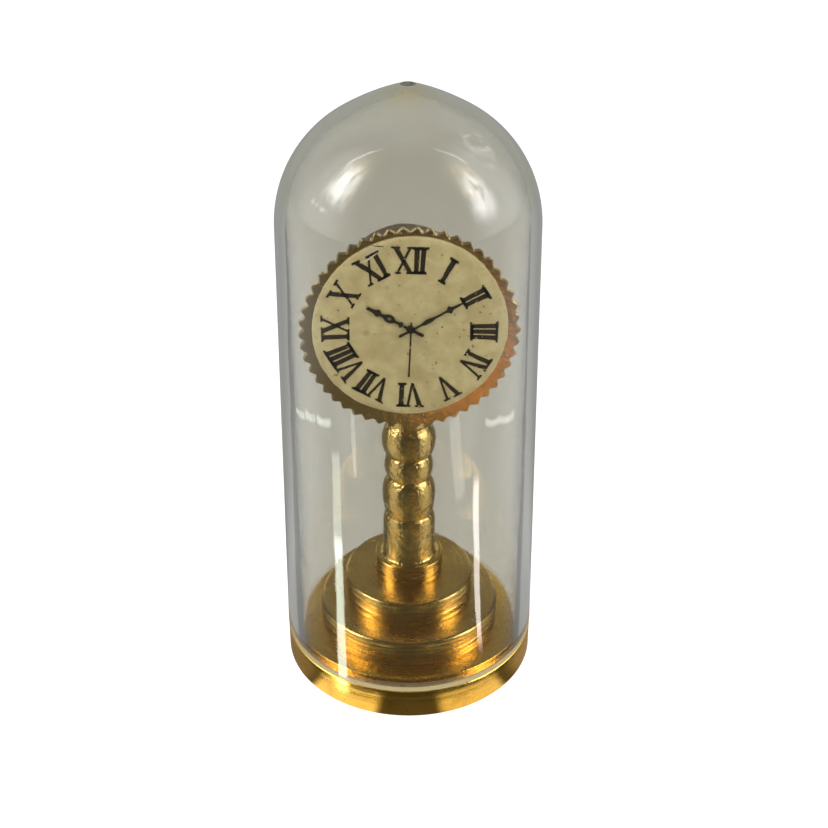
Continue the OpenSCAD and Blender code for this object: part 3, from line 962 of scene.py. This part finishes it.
def build_world():
    """The room above the floor, with bright walls to both sides and four small lights behind."""
    world = bpy.data.worlds.new("studio")
    bpy.context.scene.world = world
    world.use_nodes = True
    n = Nodes(world.node_tree)
    look_x, look_y, look_z = n.split(n.add("ShaderNodeTexCoord", "Generated"))
    azimuth = n.times(n.maths("ARCTAN2", look_x, n.times(look_y, -1.0)), DEGREES_IN_RADIAN)
    elevation = n.times(n.maths("ARCSINE", look_z), DEGREES_IN_RADIAN)
    side = n.maths("ABSOLUTE", azimuth)
    glass = windows(n, azimuth, elevation)
    walls = n.times(n.band(side, 54.0, 100.0, 8.0), n.ramp(elevation, 66.0, 30.0))
    low_lights = patch(n, side, elevation, (138.0, 160.0), (-9.0, 12.0), 4.0, 4.0)
    high_lights = patch(n, side, elevation, (150.0, 162.0), (16.0, 28.0), 3.0, 3.0)
    lights = n.plus(low_lights, high_lights)
    behind = n.ramp(side, 112.0, 150.0)
    on_brass = n.plus(0.12, n.times(walls, 0.82), n.times(behind, 0.2), n.times(lights, 1.5), glass)
    on_plastic = n.plus(0.10, n.times(behind, 0.27), glass, crown_marks(n, azimuth, elevation))
    path, seen, mirrored = ray_kinds(n)
    guided = n.ramp(side, 98.0, 110.0)
    diffuse_level = (0.36, 0.36, 0.36)
    level = n.mix(mirrored, diffuse_level, by_path(n, path, on_plastic, on_brass, guided))
    ground = n.add("ShaderNodeBackground", 0, None, Color=n.mix(seen, level, white), Strength=1.0)
    out = n.tree.nodes.new("ShaderNodeOutputWorld")
    n.tree.links.new(ground, out.inputs[0])


# Bright strips on the table: start, end, half width at the start and at the end, and strength
floor_strips = (
    ((-7.3, -8.9), (-27.0, -15.7), 0.5, 1.9, 12.0), ((-24.0, -14.5), (-41.8, -20.7), 1.7, 3.0, 4.5),
    ((11.8, -11.6), (32.8, -26.2), 0.45, 1.9, 11.0), ((24.5, -31.5), (31.0, -47.0), 3.0, 4.0, 2.2),
    ((-32.0, -30.5), (-43.0, -37.5), 1.1, 1.3, 3.0), ((-46.5, 18.0), (-50.0, 7.5), 0.5, 0.9, 2.5),
    ((-50.7, 6.5), (-51.6, -4.5), 0.8, 0.6, 4.0), ((-51.6, -6.0), (-49.5, -19.0), 0.7, 0.7, 6.0),
    ((50.3, 4.0), (50.4, -12.0), 0.5, 0.7, 4.0), ((50.4, -12.0), (46.4, -26.0), 0.7, 0.8, 5.0))


def floor_strip(n, x, y, start, end, half, half_end, strength):
    """A bright strip that the dome's wall mirrors as an upright streak."""
    start, end = Vector(start), Vector(end)
    along = (end - start).normalized()
    length = (end - start).length
    run = n.minus(n.plus(n.times(x, along.x), n.times(y, along.y)), start.dot(along))
    off = n.minus(n.times(x, along.y), n.times(y, along.x))
    off = n.maths("ABSOLUTE", n.minus(off, start.x * along.y - start.y * along.x))
    width = n.plus(half, n.times(run, (half_end - half) / length))
    edge = n.maths("DIVIDE", off, n.maths("MAXIMUM", width, 0.1))
    strip = n.times(n.band(run, 0.0, length, 0.08 * length), n.ramp(edge, 1.25, 0.75))
    return n.times(strip, strength)


# Tints of the floor's mirrored light in front, at the sides and close to the clock, in its two patches, and
# in the strips to the left and to the right
front_light, side_light, close_light = (0.95, 1.0, 0.82), (1.0, 1.0, 0.98), (1.0, 0.86, 0.62)
copper_light, olive_light = (1.0, 0.52, 0.30), (1.0, 0.94, 0.70)
left_strip_light, right_strip_light = (0.90, 1.0, 0.84), (1.0, 0.93, 0.90)


def floor_material():
    """A pale floor that mirrored rays see as the dark and bright table of the room."""
    mat, n = new_material("floor_pale")
    _, x, y, _ = n.position_mm()
    azimuth = n.times(n.maths("ARCTAN2", x, n.times(y, -1.0)), DEGREES_IN_RADIAN)
    side = n.maths("ABSOLUTE", azimuth)
    reach = n.length(x, y)
    near = n.ramp(reach, 16.5, 12.5)
    close = n.ramp(reach, 12.5, 11.0)
    copper = n.times(n.band(x, 3.5, 20.0, 1.8), n.band(y, -68.0, -36.0, 4.0))
    olive = n.times(n.band(x, -24.0, 3.5, 2.0), n.band(y, -80.0, -33.0, 4.0))
    streaks = n.plus(*(floor_strip(n, x, y, *strip) for strip in floor_strips))

    left_near, right_near = n.band(azimuth, -54.0, -19.0, 3.0), n.band(azimuth, 12.0, 47.0, 3.0)
    near_bright = n.plus(left_near, n.times(right_near, 0.8))
    near_level = n.plus(0.105, n.times(near_bright, 1.2), n.times(n.ramp(azimuth, 50.0, 64.0), 0.1),
                        n.times(n.ramp(side, 54.0, 66.0), 0.14))
    far_level = n.plus(0.13, n.times(n.band(side, 50.0, 98.0, 8.0), 0.9),
                       n.times(n.ramp(side, 105.0, 150.0), 0.22))
    haze = n.plus(n.times(n.band(side, 78.0, 126.0, 16.0), 0.72), n.times(n.ramp(side, 120.0, 150.0), 0.24))
    haze = n.times(haze, n.plus(0.5, n.times(n.ramp(reach, 12.0, 26.0), 0.5)))
    on_brass = n.mix(near, n.plus(far_level, copper, n.times(olive, 0.07)), near_level)
    on_plastic = n.mix(close, n.plus(0.05, haze, streaks), near_level)

    tint = n.mix(n.ramp(side, 20.0, 60.0), front_light, side_light)
    tint = n.mix(olive, tint, olive_light)
    tint = n.mix(copper, tint, copper_light)
    tint = n.mix(close, tint, close_light)
    streak_tint = n.mix(n.ramp(x, -2.0, 2.0), left_strip_light, right_strip_light)
    tint = n.mix(n.ramp(streaks, 0.2, 2.0), tint, streak_tint)

    path, seen, mirrored = ray_kinds(n)
    slope = n.plus(n.times(n.maths("ABSOLUTE", x), -0.285), n.times(x, 0.07))
    guided = n.ramp(n.plus(y, slope), -6.8, -5.8)
    level = by_path(n, path, on_plastic, on_brass, guided)
    room = n.add("ShaderNodeEmission", 0, None, Color=tint, Strength=level)
    plain = n.add("ShaderNodeBsdfDiffuse", 0, None, Color=(0.80, 0.80, 0.80))
    shadowed = n.add("ShaderNodeBsdfDiffuse", 0, None, Color=(0.42, 0.42, 0.42))
    lit = n.add("ShaderNodeEmission", 0, None, Color=white, Strength=0.86)
    shown = n.tree.nodes.new("ShaderNodeAddShader")
    n.tree.links.new(shadowed, shown.inputs[0])
    n.tree.links.new(lit, shown.inputs[1])
    backdrop = n.mix_shaders(seen, plain, shown.outputs[0])
    out = n.tree.nodes.new("ShaderNodeOutputMaterial")
    n.tree.links.new(n.mix_shaders(mirrored, backdrop, room), out.inputs[0])
    return mat


# Half the side of the square floor, in millimetres
floor_half = 1500


def build_floor():
    bm = bmesh.new()
    bmesh.ops.create_grid(bm, x_segments=1, y_segments=1, size=floor_half)
    floor = mesh_object("floor", bm, None, floor_material())


# Lamps and camera

lamp_aim_z = 28.0


def lamp(name, azimuth, elevation, distance, width, height, watts):
    """An area lamp aimed at the clock from an azimuth and an elevation, unseen by camera and mirrors."""
    data = bpy.data.lights.new(name, "AREA")
    data.shape = "RECTANGLE"
    data.size = width * MM
    data.size_y = height * MM
    data.energy = watts
    ob = bpy.data.objects.new(name, data)
    bpy.context.scene.collection.objects.link(ob)
    a, e = math.radians(azimuth), math.radians(elevation)
    away = Vector((math.sin(a) * math.cos(e), -math.cos(a) * math.cos(e), math.sin(e)))
    ob.location = (Vector((0, 0, lamp_aim_z)) + away * distance) * MM
    ob.rotation_euler = away.to_track_quat("Z", "Y").to_euler()
    ob.visible_glossy = False
    ob.visible_camera = False
    ob.visible_transmission = False


# The photograph's camera: it stands to the left of the dial's axis and looks to the right and down
camera_at = Vector((-4.81, -83.46, 68.82))
camera_swing, camera_pitch = math.radians(3.57), math.radians(29.83)
camera_lens = 56.28


def build_camera():
    data = bpy.data.cameras.new("camera")
    data.lens = camera_lens
    data.sensor_width = 36
    data.clip_start = 5 * MM
    ob = bpy.data.objects.new("camera", data)
    bpy.context.scene.collection.objects.link(ob)
    level = Vector((math.sin(camera_swing), math.cos(camera_swing), 0))
    look = level * math.cos(camera_pitch) - Vector((0, 0, math.sin(camera_pitch)))
    right = Vector((math.cos(camera_swing), -math.sin(camera_swing), 0))
    up = right.cross(look)
    turn = Matrix((right, up, -look)).transposed().to_4x4()
    ob.matrix_world = Matrix.Translation(camera_at * MM) @ turn
    bpy.context.scene.camera = ob


build_world()
build_floor()
lamp("window_left", azimuth=-70, elevation=36, distance=150, width=44, height=60, watts=0.12)
lamp("window_right", azimuth=70, elevation=30, distance=150, width=34, height=60, watts=0.10)
lamp("front_fill", azimuth=8, elevation=52, distance=160, width=90, height=60, watts=0.07)
build_camera()

scene = bpy.context.scene
scene.view_settings.view_transform = "Standard"
